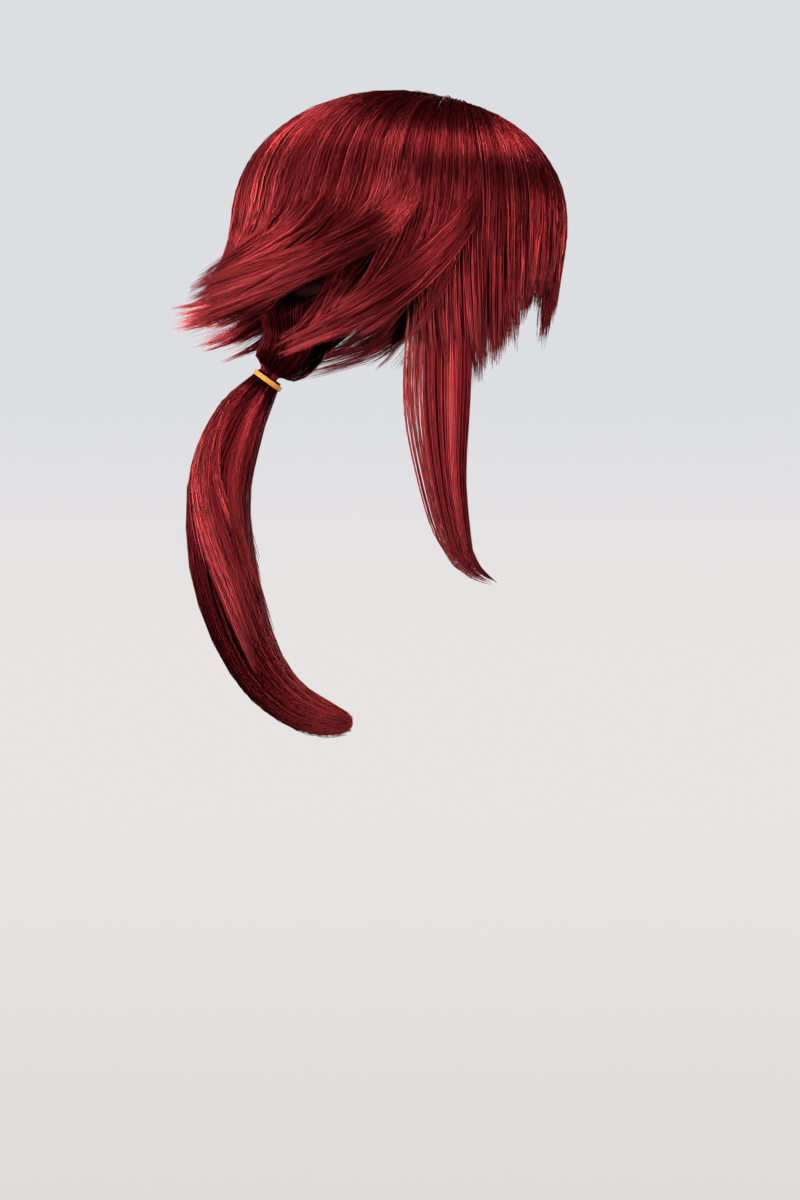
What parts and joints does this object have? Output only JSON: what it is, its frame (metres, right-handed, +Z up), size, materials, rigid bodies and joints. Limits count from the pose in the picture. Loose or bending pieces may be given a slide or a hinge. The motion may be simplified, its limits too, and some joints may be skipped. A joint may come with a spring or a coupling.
{
  "type": "cosplay wig",
  "caption": "Layered long-fibre wig on a hollow cloth cap, with a pointed fringe, long side locks, outward-flipped back layers and a low ponytail in an elastic tie.",
  "frame": {"origin": "inside top of the cap, where the crown of the head touches it", "axes": "+Z up, -Y towards the face, -X the wearer's right"},
  "size_m": [0.1814, 0.2541, 0.418],
  "materials": {
    "hair": "glossy wine-red synthetic fibre",
    "cap_net": "matt elastic net with sewn bands",
    "elastic": "matt covered elastic"
  },
  "bodies": {
    "root": {"wig_cap": "cap_net", "crown_hair": "hair", "fringe": "hair", "back_layer": "hair", "side_lock_right": "hair", "side_lock_left": "hair", "nape_gather": "hair", "hair_tie": "elastic", "ponytail": "hair"}
  },
  "joints": []
}
